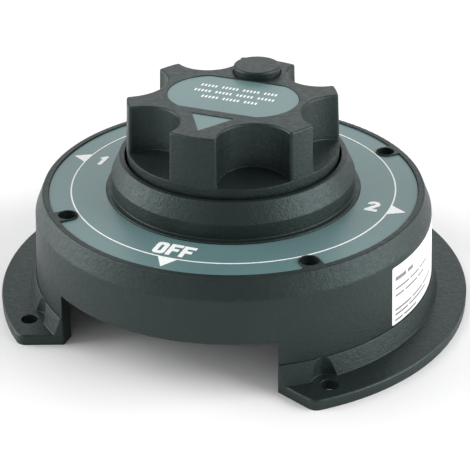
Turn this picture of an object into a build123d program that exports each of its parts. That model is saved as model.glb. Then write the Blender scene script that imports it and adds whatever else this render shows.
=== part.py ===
from build123d import *
import math
import os

# Surface-mounted marine battery switch, four positions: OFF, 1, both and 2.
# Millimetres, +Z up. The origin is on the knob's axis in the plane of the mounting face.
# -Y is the OFF side, -X is bank 1, +X is bank 2 and +Y is both. Angles run from OFF towards bank 2.

# ---- driving dimensions: levels, from the mounting face up ----
MOUTH_H = 21.3  # top edge of each cable mouth
BAY_H = 22.0  # terminal bay, up to the contact base
BASE_T = 9.0  # contact base plate
COPPER_T = 3.0  # fixed contacts
COPPER_PROUD = 1.0  # how far the fixed contacts stand above the base plate
MOVING_T = 3.0  # moving contact
ROTOR_LIFT = 1.9  # air between moving contact and rotor, taken up by the springs
ROTOR_T = 9.4  # rotor disc
ROTOR_AIR = 0.6  # rotor disc to the floor above it
FLOOR_T = 4.0  # floor inside the collar
KNOB_AIR = 1.5  # floor to the knob's lower edge
KNOB_SKIRT_H = 11.0  # knob's lower edge to its grip
GRIP_H = 19.5  # grip, up to the knob's top face
BUTTON_PROUD = 3.0  # lock button above the knob's top face
COLLAR_H = 8.9  # collar's inner wall
COLLAR_CONE_H = 7.6  # sloped outer face of the collar
DECK_DROP = 4.8  # dial rim below the collar's floor
SHOULDER_H = 7.7  # sloped shoulder below the dial rim
DECK_T = 3.4  # deck under the dial plate
FLANGE_T = 4.2  # mounting flange
SKIRT_H = 7.6  # wedge-shaped skirt above the flange

# ---- driving dimensions: radii and widths ----
RIM_R = 75.0  # outer edge of the dial rim
RIM_W = 2.4  # width of the dial rim
SHOULDER_OUT = 3.2  # how far the shoulder spreads
DRAFT_OUT = 1.4  # moulding draft of the drum wall
SKIRT_LEDGE = 0.5  # skirt's ledge outside the drum wall
SKIRT_SPREAD = 2.3  # how far the skirt spreads
FLANGE_W = 11.7  # flange beyond the skirt
WALL_T = 3.8  # drum wall at its thinnest
KNOB_R = 41.5  # knob, at the foot of the grip
KNOB_TAPER = 1.0  # grip's loss of radius over its height
SKIRT_TAPER = 0.3  # knob skirt's loss of radius over its height
COLLAR_GAP = 1.0  # knob skirt to the collar
COLLAR_EDGE = 2.1  # collar's top edge
COLLAR_SPREAD = 3.5  # how far the collar's cone spreads
LIP_W = 2.3  # raised lip round the collar's foot
MOUTH_HALF = 43.5  # half the width of a cable mouth
FLANGE_END_SLOPE = 22.0  # degrees, slope of each flange end
FLANGE_CORNER = 4.0  # rounding of the flange's corners

# ---- driving dimensions: fastenings ----
MOUNT_HOLE_R = 3.25  # clears a 6 mm bolt
MOUNT_EDGE = 7.75  # hole centre to the flange's outer edge
POCKET_R = 6.6  # washer pocket cut in the skirt above each mounting hole
SCREW_R = 2.0  # M4 cover screws
SCREW_HEAD_R = 3.5
SCREW_HEAD_H = 2.6
SCREW_SEAT = 2.0  # plastic under the screw's head
SCREW_INSET = 4.3  # cover screw to the dial's outer edge
SCREW_SINK = 1.6  # screw's seat below the deck's underside
SCREW_PAD = 0.25  # housing's rim round each screw recess
SCREW_GRIP = 8.0  # depth of thread in the insert
INSERT_R = 2.9
BOSS_R = 5.4  # housing boss round each cover screw
POST_R = 4.2  # contact base post under each cover screw
SEAL_T = 1.4  # rubber seal on the contact base's edge
SEAL_W = 1.8  # its width
STUD_R = 4.76  # 3/8 inch terminal studs
STUD_HEAD_R = 7.6
STUD_HEAD_H = 3.6
STUD_STANDOFF = 10.2  # stud to the rotor's edge
STUD_TIP = 1.5  # stud's free end above the mounting face
STUD_RELIEF = 0.5  # width of the relief groove between the stud's free end and the nut
STUD_PAD_H = 0.8  # raised pad round each stud, on the base's underside
STUD_PAD_W = 1.5  # its width beyond the washer
NUT_FLAT = 14.3  # nut across its flats
NUT_H = 8.4
WASHER_R = 9.0
WASHER_T = 1.6
LOCK_WASHER_R = 7.9
LOCK_WASHER_T = 2.2
BANK_ANGLE = 80.0  # studs of the two banks, from OFF; the common stud is opposite OFF

# ---- driving dimensions: dial and labels ----
DIAL_T = 0.6
DIAL_SINK = 0.6  # dial plate's face below the rim
PRINT_T = 0.08
LINE_INSET = 8.8  # printed ring to the dial's outer edge
LINE_W = 0.55
MARK_HALF = 3.8
MARK_L = 6.4
GLYPH_H = 8.0
GLYPH_STROKE = 1.75
GLYPH_INSET = 6.0  # centres of the position marks inside the printed ring
STICKER_T = 0.15
STICKER_START = 69.4  # degrees
STICKER_SPAN = 50.0  # degrees
STICKER_EDGE = 0.5  # sticker to the shoulder and to the skirt

# ---- driving dimensions: switch mechanism ----
SHAFT_R = 9.0
SQUARE_INSET = 0.16  # corners of the driving squares, inside the shaft's radius
JOURNAL_STEP = 3.0  # lower journal, smaller than the shaft in radius
JOURNAL_FLOOR = 2.5  # plastic under the journal
HUB_WALL = 3.75  # insulating square hub round the shaft, which turns the moving contact
HUB_AIR = 0.6  # hub to the contact base
RING_AIR = 1.85  # hub's corners to the fixed common ring
RING_W = 8.0  # width of the fixed common ring
TRACK_AIR = 3.5  # common ring to the bank contacts
TRACK_EDGE = 1.0  # rotor's edge beyond the contact track
ROTOR_CLEAR = 2.3  # rotor's edge to the collar's inner wall
CAVITY_CLEAR = 3.0  # rotor's edge to the housing
TRACK_START = 60.0  # degrees from OFF
TRACK_END = 158.0
PAD_HALF = 28.0  # degrees, half the moving pad
TAB_HALF = 9.0  # half the width of a terminal tab at its stud
NECK_HALF = 6.5  # half the width of the common tab, between the ends of the bank contacts
BALL_R = 3.0
BALL_TRAVEL = 1.2
BALL_SINK = 0.1  # ball below the floor when drawn in
BALL_INSET = 6.0  # ball to the rotor's edge
BALL_FLOOR = 1.3  # rotor under the ball's spring
SPRING_R = 3.2  # contact springs
SPRING_WIRE_R = 0.5
SPRING_DEPTH = 5.0  # their pockets in the rotor
BALL_SPRING_R = 1.9
BALL_SPRING_WIRE_R = 0.35
GROOVE_UP = 0.9  # seal groove above the floor's underside
GROOVE_H = 2.2
SEAL_WIRE_R = 0.85  # shaft seal
THRUST_W = 5.0  # thrust washer's edge beyond the shaft

# ---- driving dimensions: knob details ----
WEB_T = 4.0  # knob's top wall
KNOB_WALL = 3.3  # knob skirt wall
HUB_RIM = 3.0  # knob's hub round the shaft
RIB_HALF = 1.0
RIB_COUNT = 8
LOBE_CORE_R = 4.5  # hollow inside the pointer lobe
LOBE_CORE_IN = 9.5  # its centre inside the knob's edge
HUB_DROP = 1.5  # hub's lower end above the knob's lower edge
HOLLOW_FALL = 2.1  # fall of each finger hollow's floor, from its inner end to the rim
HOLLOW_R = 13.9  # finger hollows beside the pointer
HOLLOW_IN = 0.6  # their centres inside the knob's edge
SIDE_HOLLOW_R = 17.0  # finger hollows at the sides
SIDE_HOLLOW_OUT = 4.3  # their centres outside the knob's edge
BACK_HOLLOW_R = 13.0  # finger hollows beside the lock button
BACK_HOLLOW_ANGLE = 144.5
HOLLOW_WALL = 2.15  # lock button's well to those hollows
INLAY_EDGE = 3.0  # inlay to the side hollows
INLAY_END_R = 17.3
INLAY_T = 1.0
INLAY_SINK = 0.25
INLAY_RIB = 0.4  # knob between the inlay's recess and the button's well
POINTER_HALF = 8.3
POINTER_L = 13.8
POINTER_INSET = 7.4  # pointer's tip inside the knob's edge
POINTER_RIB = 4.7  # knob between the pointer and the inlay
BUTTON_R = 9.35
BUTTON_INSET = 15.3  # button's centre inside the knob's edge
BUTTON_H = 5.5
BUTTON_TRAVEL = 2.4
BUTTON_WELL = 7.5  # depth of the button's well
WELL_FLOOR = 2.5
WELL_WALL = 1.8
GUIDE_UP = 3.5  # lower end of the pin's guide above the knob's edge
GUIDE_WALL = 3.2
PIN_CAP = 2.0  # cap above the pin
PIN_R = 3.0
PIN_AIR = 0.6  # pin's tip above the collar's floor
SOCKET_DEPTH = 3.0
CLIP_T = 0.8
CLIP_R = 5.2
CLIP_BITE = 0.6  # depth of the pin's groove
BUTTON_SPRING_R = 6.2
BUTTON_SPRING_WIRE_R = 0.4
KNOB_SCREW_R = 3.0
KNOB_SCREW_HEAD_R = 5.2
KNOB_SCREW_HEAD_H = 3.2
KNOB_WASHER_R = 6.3
KNOB_WASHER_T = 1.2
KNOB_SCREW_AIR = 0.6  # screw's head to the inlay
KNOB_SCREW_L = 12.0  # thread in the shaft

# ---- clearances ----
RUN_FIT = 0.05  # radial clearance of what turns or slides
SLIP_FIT = 0.1  # clearance of what is only assembled
EASY_FIT = 0.3  # clearance of what must never touch
PLATE_FIT = 0.15  # round the dial plate and the inlays
CONTACT_AIR = 0.1  # moving contact to fixed contacts

# ---- levels worked out from the stack ----
BASE_TOP = BAY_H + BASE_T
COPPER_TOP = BASE_TOP + COPPER_PROUD
MOVING_Z = COPPER_TOP + CONTACT_AIR
ROTOR_Z = MOVING_Z + MOVING_T + ROTOR_LIFT
ROTOR_TOP = ROTOR_Z + ROTOR_T
FLOOR_Z = ROTOR_TOP + ROTOR_AIR
FLOOR_TOP = FLOOR_Z + FLOOR_T
KNOB_Z = FLOOR_TOP + KNOB_AIR
GRIP_Z = KNOB_Z + KNOB_SKIRT_H
KNOB_TOP = GRIP_Z + GRIP_H
COLLAR_TOP = FLOOR_TOP + COLLAR_H
CONE_Z = COLLAR_TOP - COLLAR_CONE_H
DECK_Z = FLOOR_TOP - DECK_DROP
DIAL_Z = DECK_Z - DIAL_SINK - DIAL_T
DIAL_TOP = DIAL_Z + DIAL_T
DECK_UNDER = DIAL_Z - DECK_T
SHOULDER_Z = DECK_Z - SHOULDER_H
SKIRT_Z = FLANGE_T + SKIRT_H
COVER_SEAT_Z = DECK_UNDER - SCREW_SINK
BOSS_Z = COVER_SEAT_Z - SCREW_SEAT
POST_TOP = BOSS_Z - SLIP_FIT
INSERT_Z = POST_TOP - SCREW_GRIP
COPPER_Z = COPPER_TOP - COPPER_T
PLATE_UNDER = BAY_H - STUD_PAD_H
LOCK_Z = PLATE_UNDER - WASHER_T - LOCK_WASHER_T
NUT_Z = LOCK_Z - NUT_H
SPRING_ROOF = ROTOR_Z + SPRING_DEPTH
BALL_Z = FLOOR_Z - BALL_SINK - BALL_R
BALL_OUT_Z = BALL_Z + BALL_TRAVEL
BALL_BORE_Z = ROTOR_Z + BALL_FLOOR
GROOVE_Z = FLOOR_Z + GROOVE_UP
KNOB_HUB_Z = KNOB_Z + HUB_DROP
WEB_Z = KNOB_TOP - WEB_T
SKIRT_ROOF = GRIP_Z - KNOB_WALL
INLAY_Z = KNOB_TOP - INLAY_SINK - INLAY_T
KNOB_SEAT_Z = INLAY_Z - KNOB_SCREW_AIR - KNOB_SCREW_HEAD_H - KNOB_WASHER_T
SQUARE_TOP = KNOB_SEAT_Z - WEB_T
WELL_Z = KNOB_TOP - BUTTON_WELL
GUIDE_Z = KNOB_Z + GUIDE_UP
CLIP_TOP = GUIDE_Z - SLIP_FIT
BUTTON_TOP = KNOB_TOP + BUTTON_PROUD
BUTTON_Z = BUTTON_TOP - BUTTON_H
PIN_TOP = BUTTON_TOP - PIN_CAP
PIN_Z = FLOOR_TOP + PIN_AIR

# ---- radii worked out from the widths ----
DRUM_R = RIM_R + SHOULDER_OUT
FOOT_R = DRUM_R + DRAFT_OUT
SKIRT_FOOT_R = FOOT_R + SKIRT_LEDGE + SKIRT_SPREAD
FLANGE_R = SKIRT_FOOT_R + FLANGE_W
DIAL_R = RIM_R - RIM_W
INNER_R = DRUM_R - WALL_T
BASE_R = INNER_R - EASY_FIT
LEDGE_R = INNER_R - SEAL_W
KNOB_FOOT_R = KNOB_R - SKIRT_TAPER
COLLAR_IN = KNOB_FOOT_R + COLLAR_GAP
COLLAR_R = COLLAR_IN + COLLAR_EDGE + COLLAR_SPREAD
LIP_R = COLLAR_R + LIP_W
ROTOR_R = COLLAR_IN - ROTOR_CLEAR
CAVITY_R = ROTOR_R + CAVITY_CLEAR
SQUARE = (SHAFT_R - SQUARE_INSET) * math.sqrt(2)
JOURNAL_R = SHAFT_R - JOURNAL_STEP
HUB_SQUARE = SQUARE + 2 * HUB_WALL
RING_IN = HUB_SQUARE / math.sqrt(2) + RING_AIR
RING_OUT = RING_IN + RING_W
TRACK_IN = RING_OUT + TRACK_AIR
TRACK_OUT = ROTOR_R - TRACK_EDGE
STUD_PCR = ROTOR_R + STUD_STANDOFF
MOUNT_R = FLANGE_R - MOUNT_EDGE
SCREW_PCR = DIAL_R - SCREW_INSET
RECESS_R = SCREW_HEAD_R + SLIP_FIT
PAD_R = RECESS_R + SCREW_PAD
LINE_R = DIAL_R - LINE_INSET
GLYPH_R = LINE_R - GLYPH_INSET
BORE_R = SHAFT_R + RUN_FIT
DETENT_R = ROTOR_R - BALL_INSET
SPRING_POCKET_R = SPRING_R + SPRING_WIRE_R + EASY_FIT
BUTTON_Y = KNOB_R - BUTTON_INSET
WELL_R = BUTTON_R + EASY_FIT
HUB_R = SHAFT_R + HUB_RIM
SKIRT_IN = KNOB_FOOT_R - KNOB_WALL
POINTER_TIP = KNOB_R - POINTER_INSET
POINTER_BACK = POINTER_TIP - POINTER_L
INLAY_HALF_X = KNOB_R + SIDE_HOLLOW_OUT - SIDE_HOLLOW_R - INLAY_EDGE
INLAY_NORTH = BUTTON_Y - WELL_R - INLAY_RIB - PLATE_FIT
INLAY_SOUTH = POINTER_BACK - POINTER_RIB
INLAY_HALF_Y = (INLAY_NORTH + INLAY_SOUTH) / 2
INLAY_Y = (INLAY_NORTH - INLAY_SOUTH) / 2
STUD_ANGLES = (180.0, BANK_ANGLE, -BANK_ANGLE)
DETENT_ANGLES = (90.0, -90.0)
QUARTERS = (0.0, 90.0, 180.0, 270.0)
CORNERS = (45.0, 135.0, 225.0, 315.0)
SPRING_SPOTS = (
    (0.0, TRACK_OUT - SPRING_POCKET_R - 2.0),
    (130.0, RING_OUT - SPRING_POCKET_R),
    (-130.0, RING_OUT - SPRING_POCKET_R),
)


def back_hollow_distance():
    """Distance of the hollows beside the button, which leave a wall round the button's well."""
    a = math.radians(180 - BACK_HOLLOW_ANGLE)
    apart = BACK_HOLLOW_R + WELL_R + HOLLOW_WALL
    return BUTTON_Y * math.cos(a) + math.sqrt(apart**2 - (BUTTON_Y * math.sin(a)) ** 2)


# Finger hollows: angle, radius and distance of each cylinder. The hub cavity stays inside them.
HOLLOWS = (
    (33.0, HOLLOW_R, KNOB_R - HOLLOW_IN),
    (90.0, SIDE_HOLLOW_R, KNOB_R + SIDE_HOLLOW_OUT),
    (BACK_HOLLOW_ANGLE, BACK_HOLLOW_R, back_hollow_distance()),
)
KNOB_CAVITY_R = min(distance - radius for _, radius, distance in HOLLOWS) - HOLLOW_WALL


# ---- helpers ----
def at(radius, angle, z=0.0):
    """A place at a radius and an angle from OFF towards bank 2."""
    a = math.radians(angle)
    return Vector(radius * math.sin(a), -radius * math.cos(a), z)


def rod(radius, low, high, place=(0, 0)):
    """A solid cylinder between two levels."""
    shape = Cylinder(radius, high - low, align=(Align.CENTER, Align.CENTER, Align.MIN))
    return Pos(place[0], place[1], low) * shape


def tube(inner, outer, low, high, place=(0, 0)):
    return rod(outer, low, high, place) - rod(inner, low - 1, high + 1, place)


def block(x0, x1, y0, y1, z0, z1):
    shape = Box(x1 - x0, y1 - y0, z1 - z0, align=(Align.MIN, Align.MIN, Align.MIN))
    return Pos(x0, y0, z0) * shape


def square_bar(side, low, high):
    return block(-side / 2, side / 2, -side / 2, side / 2, low, high)


def turned(points):
    """A solid of revolution about Z from its half section: radius, height and corner rounding."""
    corners = [Vector(p[0], 0, p[1]) for p in points]
    radii = [p[2] if len(p) > 2 else 0 for p in points]
    outline = FilletPolyline(*corners, radius=radii, close=True)
    return revolve(make_face(outline), Axis.Z)


def plate(face, low, high):
    """A flat outline in the XY plane, raised between two levels."""
    return Pos(0, 0, low) * extrude(face, high - low, dir=(0, 0, 1))


def sector(inner, outer, start, end):
    """A flat ring sector between two angles."""
    middle = (start + end) / 2
    far = ThreePointArc(at(outer, start), at(outer, middle), at(outer, end))
    near = ThreePointArc(at(inner, end), at(inner, middle), at(inner, start))
    sides = Line(at(outer, end), at(inner, end)) + Line(at(inner, start), at(outer, start))
    return make_face((far + near + sides).edges())


def spring(radius, wire_r, low, high, place=(0, 0)):
    """A round-wire coil spring whose ends lie against two seats."""
    rise = high - low - 2 * wire_r
    turns = max(2, round(rise / (3.4 * wire_r)))
    path = Helix(pitch=rise / turns, height=rise, radius=radius)
    section = Plane(origin=path @ 0, z_dir=path % 0) * Circle(wire_r)
    return Pos(place[0], place[1], low + wire_r) * sweep(section, path)


def spread(solids):
    """Separate solids of one node."""
    return Compound(children=[solid for shape in solids for solid in shape.solids()])


# ---- housing: one moulding, kept as its drum, its collar and its two mounting ears ----
def housing():
    """The drum: wall, shoulder, rim and deck, with the cable mouths cut in it."""
    body = turned(
        [
            (LIP_R, DIAL_Z),
            (DIAL_R, DIAL_Z),
            (DIAL_R, DECK_Z, 0.3),
            (RIM_R, DECK_Z, 0.6),
            (DRUM_R, SHOULDER_Z, 3.0),
            (FOOT_R, SKIRT_Z),
            (FOOT_R, 0),
            (INNER_R, 0),
            (INNER_R, BASE_TOP + SEAL_T),
            (LEDGE_R, BASE_TOP + SEAL_T),
            (LEDGE_R, SHOULDER_Z),
            (DIAL_R - 1.0, DECK_UNDER),
            (LIP_R, DECK_UNDER),
        ]
    )
    for angle in CORNERS:
        place = at(SCREW_PCR, angle)
        pad = block(-PAD_R, PAD_R, -DIAL_R - RIM_W / 4, -SCREW_PCR, DIAL_Z - DECK_T / 4, DECK_Z)
        body += rod(BOSS_R, BOSS_Z, DIAL_Z, (place.X, place.Y))
        body += rod(PAD_R, DIAL_Z - DECK_T / 4, DECK_Z, (place.X, place.Y))
        body += Rot(0, 0, angle) * pad
    for angle in CORNERS:
        place = at(SCREW_PCR, angle)
        body -= rod(RECESS_R, COVER_SEAT_Z, DECK_Z + 1, (place.X, place.Y))
        body -= rod(SCREW_R + SLIP_FIT, BOSS_Z - 1, COVER_SEAT_Z + 1, (place.X, place.Y))
    return body - mouth(-1) - mouth(1)


def collar():
    """The floor under the knob, the collar round it and the lip at the collar's foot."""
    body = turned(
        [
            (BORE_R, FLOOR_Z),
            (BORE_R, FLOOR_TOP),
            (COLLAR_IN, FLOOR_TOP),
            (COLLAR_IN, COLLAR_TOP, 0.4),
            (COLLAR_IN + COLLAR_EDGE, COLLAR_TOP, 0.7),
            (COLLAR_R, CONE_Z, 1.0),
            (COLLAR_R, DECK_Z, 0.3),
            (LIP_R, DECK_Z, 0.3),
            (LIP_R, DECK_UNDER),
            (CAVITY_R, DECK_UNDER),
            (CAVITY_R, FLOOR_Z),
        ]
    )
    for angle in QUARTERS:
        socket = at(BUTTON_Y, angle)
        body -= rod(PIN_R + EASY_FIT, FLOOR_TOP - SOCKET_DEPTH, FLOOR_TOP + 1, (socket.X, socket.Y))
        body -= Pos(at(DETENT_R, angle, BALL_OUT_Z)) * Sphere(BALL_R + EASY_FIT)
    return body


def ear_outline():
    """Both ears in plan: their ends slope outwards from the corners of the cable mouths."""
    slope = math.tan(math.radians(FLANGE_END_SLOPE))
    middle_y = math.sqrt(FOOT_R**2 - MOUTH_HALF**2) - MOUTH_HALF * slope
    reach = FLANGE_R * 1.2
    far_y = middle_y + reach * slope
    corners = [
        (-reach, -far_y),
        (0, -middle_y),
        (reach, -far_y),
        (reach, far_y),
        (0, middle_y),
        (-reach, far_y),
    ]
    return make_face(Polyline(*corners, close=True))


def flange():
    """Two crescents: a ring whose front and back are cut away along sloping ends."""
    outline = ear_outline() & Circle(FLANGE_R)
    tips = outline.vertices().filter_by(lambda v: abs(v.X) > MOUTH_HALF + 1)
    outline = fillet(tips, FLANGE_CORNER)
    crescents = plate(outline, 0, FLANGE_T)
    crescents = chamfer(crescents.edges().group_by(Axis.Z)[-1], 0.5)
    return crescents - rod(SKIRT_FOOT_R - 1, -1, FLANGE_T + 1)


def mouth(side):
    """The cutter of one cable mouth, on the OFF side or opposite it."""
    near = INNER_R / 2 * side
    far = FLANGE_R * side
    return block(-MOUTH_HALF, MOUTH_HALF, min(near, far), max(near, far), -1, MOUTH_H)


def mounting_ear(side):
    """One ear: its flange and the wedge-shaped skirt that backs on to the drum."""
    skirt = turned(
        [
            (FOOT_R, SKIRT_Z),
            (FOOT_R + SKIRT_LEDGE, SKIRT_Z),
            (SKIRT_FOOT_R, FLANGE_T),
            (SKIRT_FOOT_R, 0),
            (FOOT_R, 0),
        ]
    )
    body = (skirt & plate(ear_outline(), 0, SKIRT_Z)) + flange()
    for angle in CORNERS:
        hole = at(MOUNT_R, angle)
        body -= rod(MOUNT_HOLE_R, -1, FLANGE_T + 1, (hole.X, hole.Y))
        body -= rod(POCKET_R, FLANGE_T, SKIRT_Z + 1, (hole.X, hole.Y))
    return body.solids().sort_by(Axis.X)[0 if side < 0 else -1]


# ---- contact base and what holds it ----
def tab(angle, low, high, grow=0.0):
    """A terminal tab from a contact out to its stud; the common one is narrow between the tracks."""
    wide = TAB_HALF + grow
    neck = NECK_HALF + grow
    strip = block(-wide, wide, -STUD_PCR, 1 - TRACK_OUT, low, high)
    if angle == STUD_ANGLES[0]:
        strip = block(-wide, wide, -STUD_PCR, -TRACK_OUT - NECK_HALF, low, high)
        strip += block(-neck, neck, -STUD_PCR, 1 - RING_OUT, low, high)
    return Rot(0, 0, angle) * (strip + rod(wide, low, high, (0, -STUD_PCR)))


def stud_hole(angle, low, high):
    place = at(STUD_PCR, angle)
    return rod(STUD_R + SLIP_FIT, low, high, (place.X, place.Y))


def common_contact():
    angle = STUD_ANGLES[0]
    ring = tube(RING_IN, RING_OUT, COPPER_Z, COPPER_TOP)
    return ring + tab(angle, COPPER_Z, COPPER_TOP) - stud_hole(angle, COPPER_Z - 1, COPPER_TOP + 1)


def bank_contact(side):
    angle = side * BANK_ANGLE
    outline = sector(TRACK_IN, TRACK_OUT, side * TRACK_START, side * TRACK_END)
    body = plate(outline, COPPER_Z, COPPER_TOP) + tab(angle, COPPER_Z, COPPER_TOP)
    return body - stud_hole(angle, COPPER_Z - 1, COPPER_TOP + 1)


def contact_recess():
    """The recesses that hold the fixed contacts, with clearance all round."""
    low = COPPER_Z
    high = BASE_TOP + 1
    grow = PLATE_FIT
    ease = math.degrees(grow / TRACK_IN)
    cut = tube(RING_IN - grow, RING_OUT + grow, low, high)
    for angle in STUD_ANGLES:
        cut += tab(angle, low, high, grow)
    for side in (-1, 1):
        ends = (side * (TRACK_START - ease), side * (TRACK_END + ease))
        cut += plate(sector(TRACK_IN - grow, TRACK_OUT + grow, *ends), low, high)
    return cut


def contact_base():
    body = rod(BASE_R, BAY_H, BASE_TOP)
    for angle in CORNERS:
        place = at(SCREW_PCR, angle)
        body += rod(POST_R, BASE_TOP - 1, POST_TOP, (place.X, place.Y))
    for angle in STUD_ANGLES:
        place = at(STUD_PCR, angle)
        body += rod(WASHER_R + STUD_PAD_W, PLATE_UNDER, BAY_H + 1, (place.X, place.Y))
    body -= contact_recess()
    body -= rod(JOURNAL_R + RUN_FIT, BAY_H + JOURNAL_FLOOR, BASE_TOP + 1)
    for angle in CORNERS:
        place = at(SCREW_PCR, angle)
        body -= rod(INSERT_R, INSERT_Z, POST_TOP + 1, (place.X, place.Y))
    for angle in STUD_ANGLES:
        body -= stud_hole(angle, BAY_H - 2, BASE_TOP + 1)
    return body


def body_seal():
    return tube(LEDGE_R + SLIP_FIT, BASE_R - SLIP_FIT, BASE_TOP, BASE_TOP + SEAL_T)


def cover_screws():
    screws = []
    for angle in CORNERS:
        place = at(SCREW_PCR, angle, COVER_SEAT_Z + SCREW_HEAD_H)
        head = rod(SCREW_HEAD_R, COVER_SEAT_Z, place.Z, (place.X, place.Y))
        head = fillet(head.edges().group_by(Axis.Z)[-1], 0.5)
        slot = Pos(place) * Box(3 * SCREW_HEAD_R, SCREW_R / 2, SCREW_HEAD_H)
        shank = rod(SCREW_R, INSERT_Z + 1, COVER_SEAT_Z, (place.X, place.Y))
        screws.append(head - slot + shank)
    return spread(screws)


def thread_inserts():
    spots = [at(SCREW_PCR, angle) for angle in CORNERS]
    return spread([tube(SCREW_R, INSERT_R, INSERT_Z, POST_TOP, (p.X, p.Y)) for p in spots])


# ---- terminal studs, nuts and washers ----
def terminal_studs():
    studs = []
    for angle in STUD_ANGLES:
        place = at(STUD_PCR, angle)
        spot = (place.X, place.Y)
        head = rod(STUD_HEAD_R, COPPER_TOP, COPPER_TOP + STUD_HEAD_H, spot)
        shank = rod(STUD_R, STUD_TIP, COPPER_TOP, spot)
        shank = chamfer(shank.edges().group_by(Axis.Z)[0], 0.7)
        groove_top = NUT_Z - SLIP_FIT
        shank -= tube(STUD_R - EASY_FIT, STUD_R + 1, groove_top - STUD_RELIEF, groove_top, spot)
        studs.append(head + shank)
    return spread(studs)


def flat_washers():
    hole_r = STUD_R + EASY_FIT
    low = PLATE_UNDER - WASHER_T
    spots = [at(STUD_PCR, angle) for angle in STUD_ANGLES]
    return spread([tube(hole_r, WASHER_R, low, PLATE_UNDER, (p.X, p.Y)) for p in spots])


def lock_washers():
    washers = []
    for angle in STUD_ANGLES:
        place = at(STUD_PCR, angle)
        high = PLATE_UNDER - WASHER_T
        ring = tube(STUD_R + EASY_FIT, LOCK_WASHER_R, LOCK_Z, high, (place.X, place.Y))
        middle = Pos(place.X + LOCK_WASHER_R, place.Y, (LOCK_Z + high) / 2)
        split = middle * Rot(25, 0, 0) * Box(LOCK_WASHER_R, 0.6, 3 * LOCK_WASHER_T)
        washers.append(ring - split)
    return spread(washers)


def stud_nuts():
    nuts = []
    for angle in STUD_ANGLES:
        place = at(STUD_PCR, angle)
        hexagon = RegularPolygon(NUT_FLAT / 2, 6, major_radius=False)
        nut = plate(Pos(place.X, place.Y) * hexagon, NUT_Z, LOCK_Z)
        corners = turned(
            [
                (0, NUT_Z),
                (NUT_FLAT / 2, NUT_Z),
                (NUT_FLAT * 0.64, NUT_Z + NUT_FLAT * 0.08),
                (NUT_FLAT * 0.64, LOCK_Z - NUT_FLAT * 0.08),
                (NUT_FLAT / 2, LOCK_Z),
                (0, LOCK_Z),
            ]
        )
        nut = nut & (Pos(place.X, place.Y) * corners)
        nuts.append(nut - rod(STUD_R, NUT_Z - 1, LOCK_Z + 1, (place.X, place.Y)))
    return spread(nuts)


# ---- dial plate and its marks ----
def dial_plate():
    body = tube(LIP_R + PLATE_FIT, DIAL_R - PLATE_FIT, DIAL_Z, DIAL_TOP)
    notch_r = PAD_R + PLATE_FIT
    for angle in CORNERS:
        slot = rod(notch_r, DIAL_Z - 1, DIAL_TOP + 1, (0, -SCREW_PCR))
        slot += block(-notch_r, notch_r, -DIAL_R - 1, -SCREW_PCR, DIAL_Z - 1, DIAL_TOP + 1)
        body -= Rot(0, 0, angle) * slot
    return body


def strokes(lines, width):
    """A mark drawn with one stroke width."""
    mark = trace(Polyline(*lines[0]), width)
    for line in lines[1:]:
        mark += trace(Polyline(*line), width)
    return mark


def letter_o(width, height):
    outer = RectangleRounded(width, height, width * 0.34)
    inner = RectangleRounded(width - 2 * GLYPH_STROKE, height - 2 * GLYPH_STROKE, width * 0.1)
    return outer - inner


def letter_f(width, height):
    half = GLYPH_STROKE / 2
    left = -width / 2 + half
    top = height / 2 - half
    stem = [(left, -height / 2), (left, height / 2)]
    arm = [(left, top), (width / 2, top)]
    bar = [(left, 0), (width / 2 - 0.7, 0)]
    return strokes([stem, arm, bar], GLYPH_STROKE)


def figure_one(height):
    half = GLYPH_STROKE / 2
    corners = [
        (half, -height / 2),
        (half, height / 2),
        (-half * 0.4, height / 2),
        (-half - 1.1, height / 2 - 1.6),
        (-half - 1.1, height / 2 - 2.9),
        (-half, height / 2 - 2.5),
        (-half, -height / 2),
    ]
    return make_face(Polyline(*corners, close=True))


def figure_two(width, height):
    outer = width / 2
    middle = outer - GLYPH_STROKE / 2
    bowl_y = height / 2 - outer
    angles = [190 - 24 * step for step in range(9)]
    bowl = [(middle * math.cos(math.radians(a)), bowl_y + middle * math.sin(math.radians(a))) for a in angles]
    base_y = -height / 2 + GLYPH_STROKE / 2
    spine = bowl + [(-middle + 0.3, base_y + 0.4)]
    foot = [(-outer, base_y), (outer, base_y)]
    return strokes([spine, foot], GLYPH_STROKE)


def plus_sign(size):
    return strokes([[(-size / 2, 0), (size / 2, 0)], [(0, -size / 2), (0, size / 2)]], GLYPH_STROKE * 0.8)


def dial_marks():
    """Printed ring, four pointers and the position marks, all as one thin layer of ink."""
    line = Circle(LINE_R + LINE_W / 2) - Circle(LINE_R - LINE_W / 2)
    triangle = [(-MARK_HALF, -LINE_R), (0, -LINE_R - MARK_L), (MARK_HALF, -LINE_R)]
    pointer = make_face(Polyline(*triangle, close=True))
    ink = line
    for angle in QUARTERS:
        ink += Rot(0, 0, angle) * pointer
    letter_w = 4.7
    step = letter_w + 0.55
    ink += Pos(-step, -GLYPH_R) * letter_o(letter_w, GLYPH_H)
    ink += Pos(0.1, -GLYPH_R) * letter_f(letter_w, GLYPH_H)
    ink += Pos(step, -GLYPH_R) * letter_f(letter_w, GLYPH_H)
    ink += Pos(-GLYPH_R + 0.6, 0) * figure_one(GLYPH_H)
    ink += Pos(GLYPH_R - 0.6, 0.5) * figure_two(4.9, GLYPH_H)
    ink += Pos(-5.4, GLYPH_R) * figure_one(GLYPH_H)
    ink += Pos(-1.0, GLYPH_R) * plus_sign(4.2)
    ink += Pos(4.6, GLYPH_R) * figure_two(4.9, GLYPH_H)
    return spread([plate(face, DIAL_TOP, DIAL_TOP + PRINT_T) for face in ink.faces()])


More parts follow.
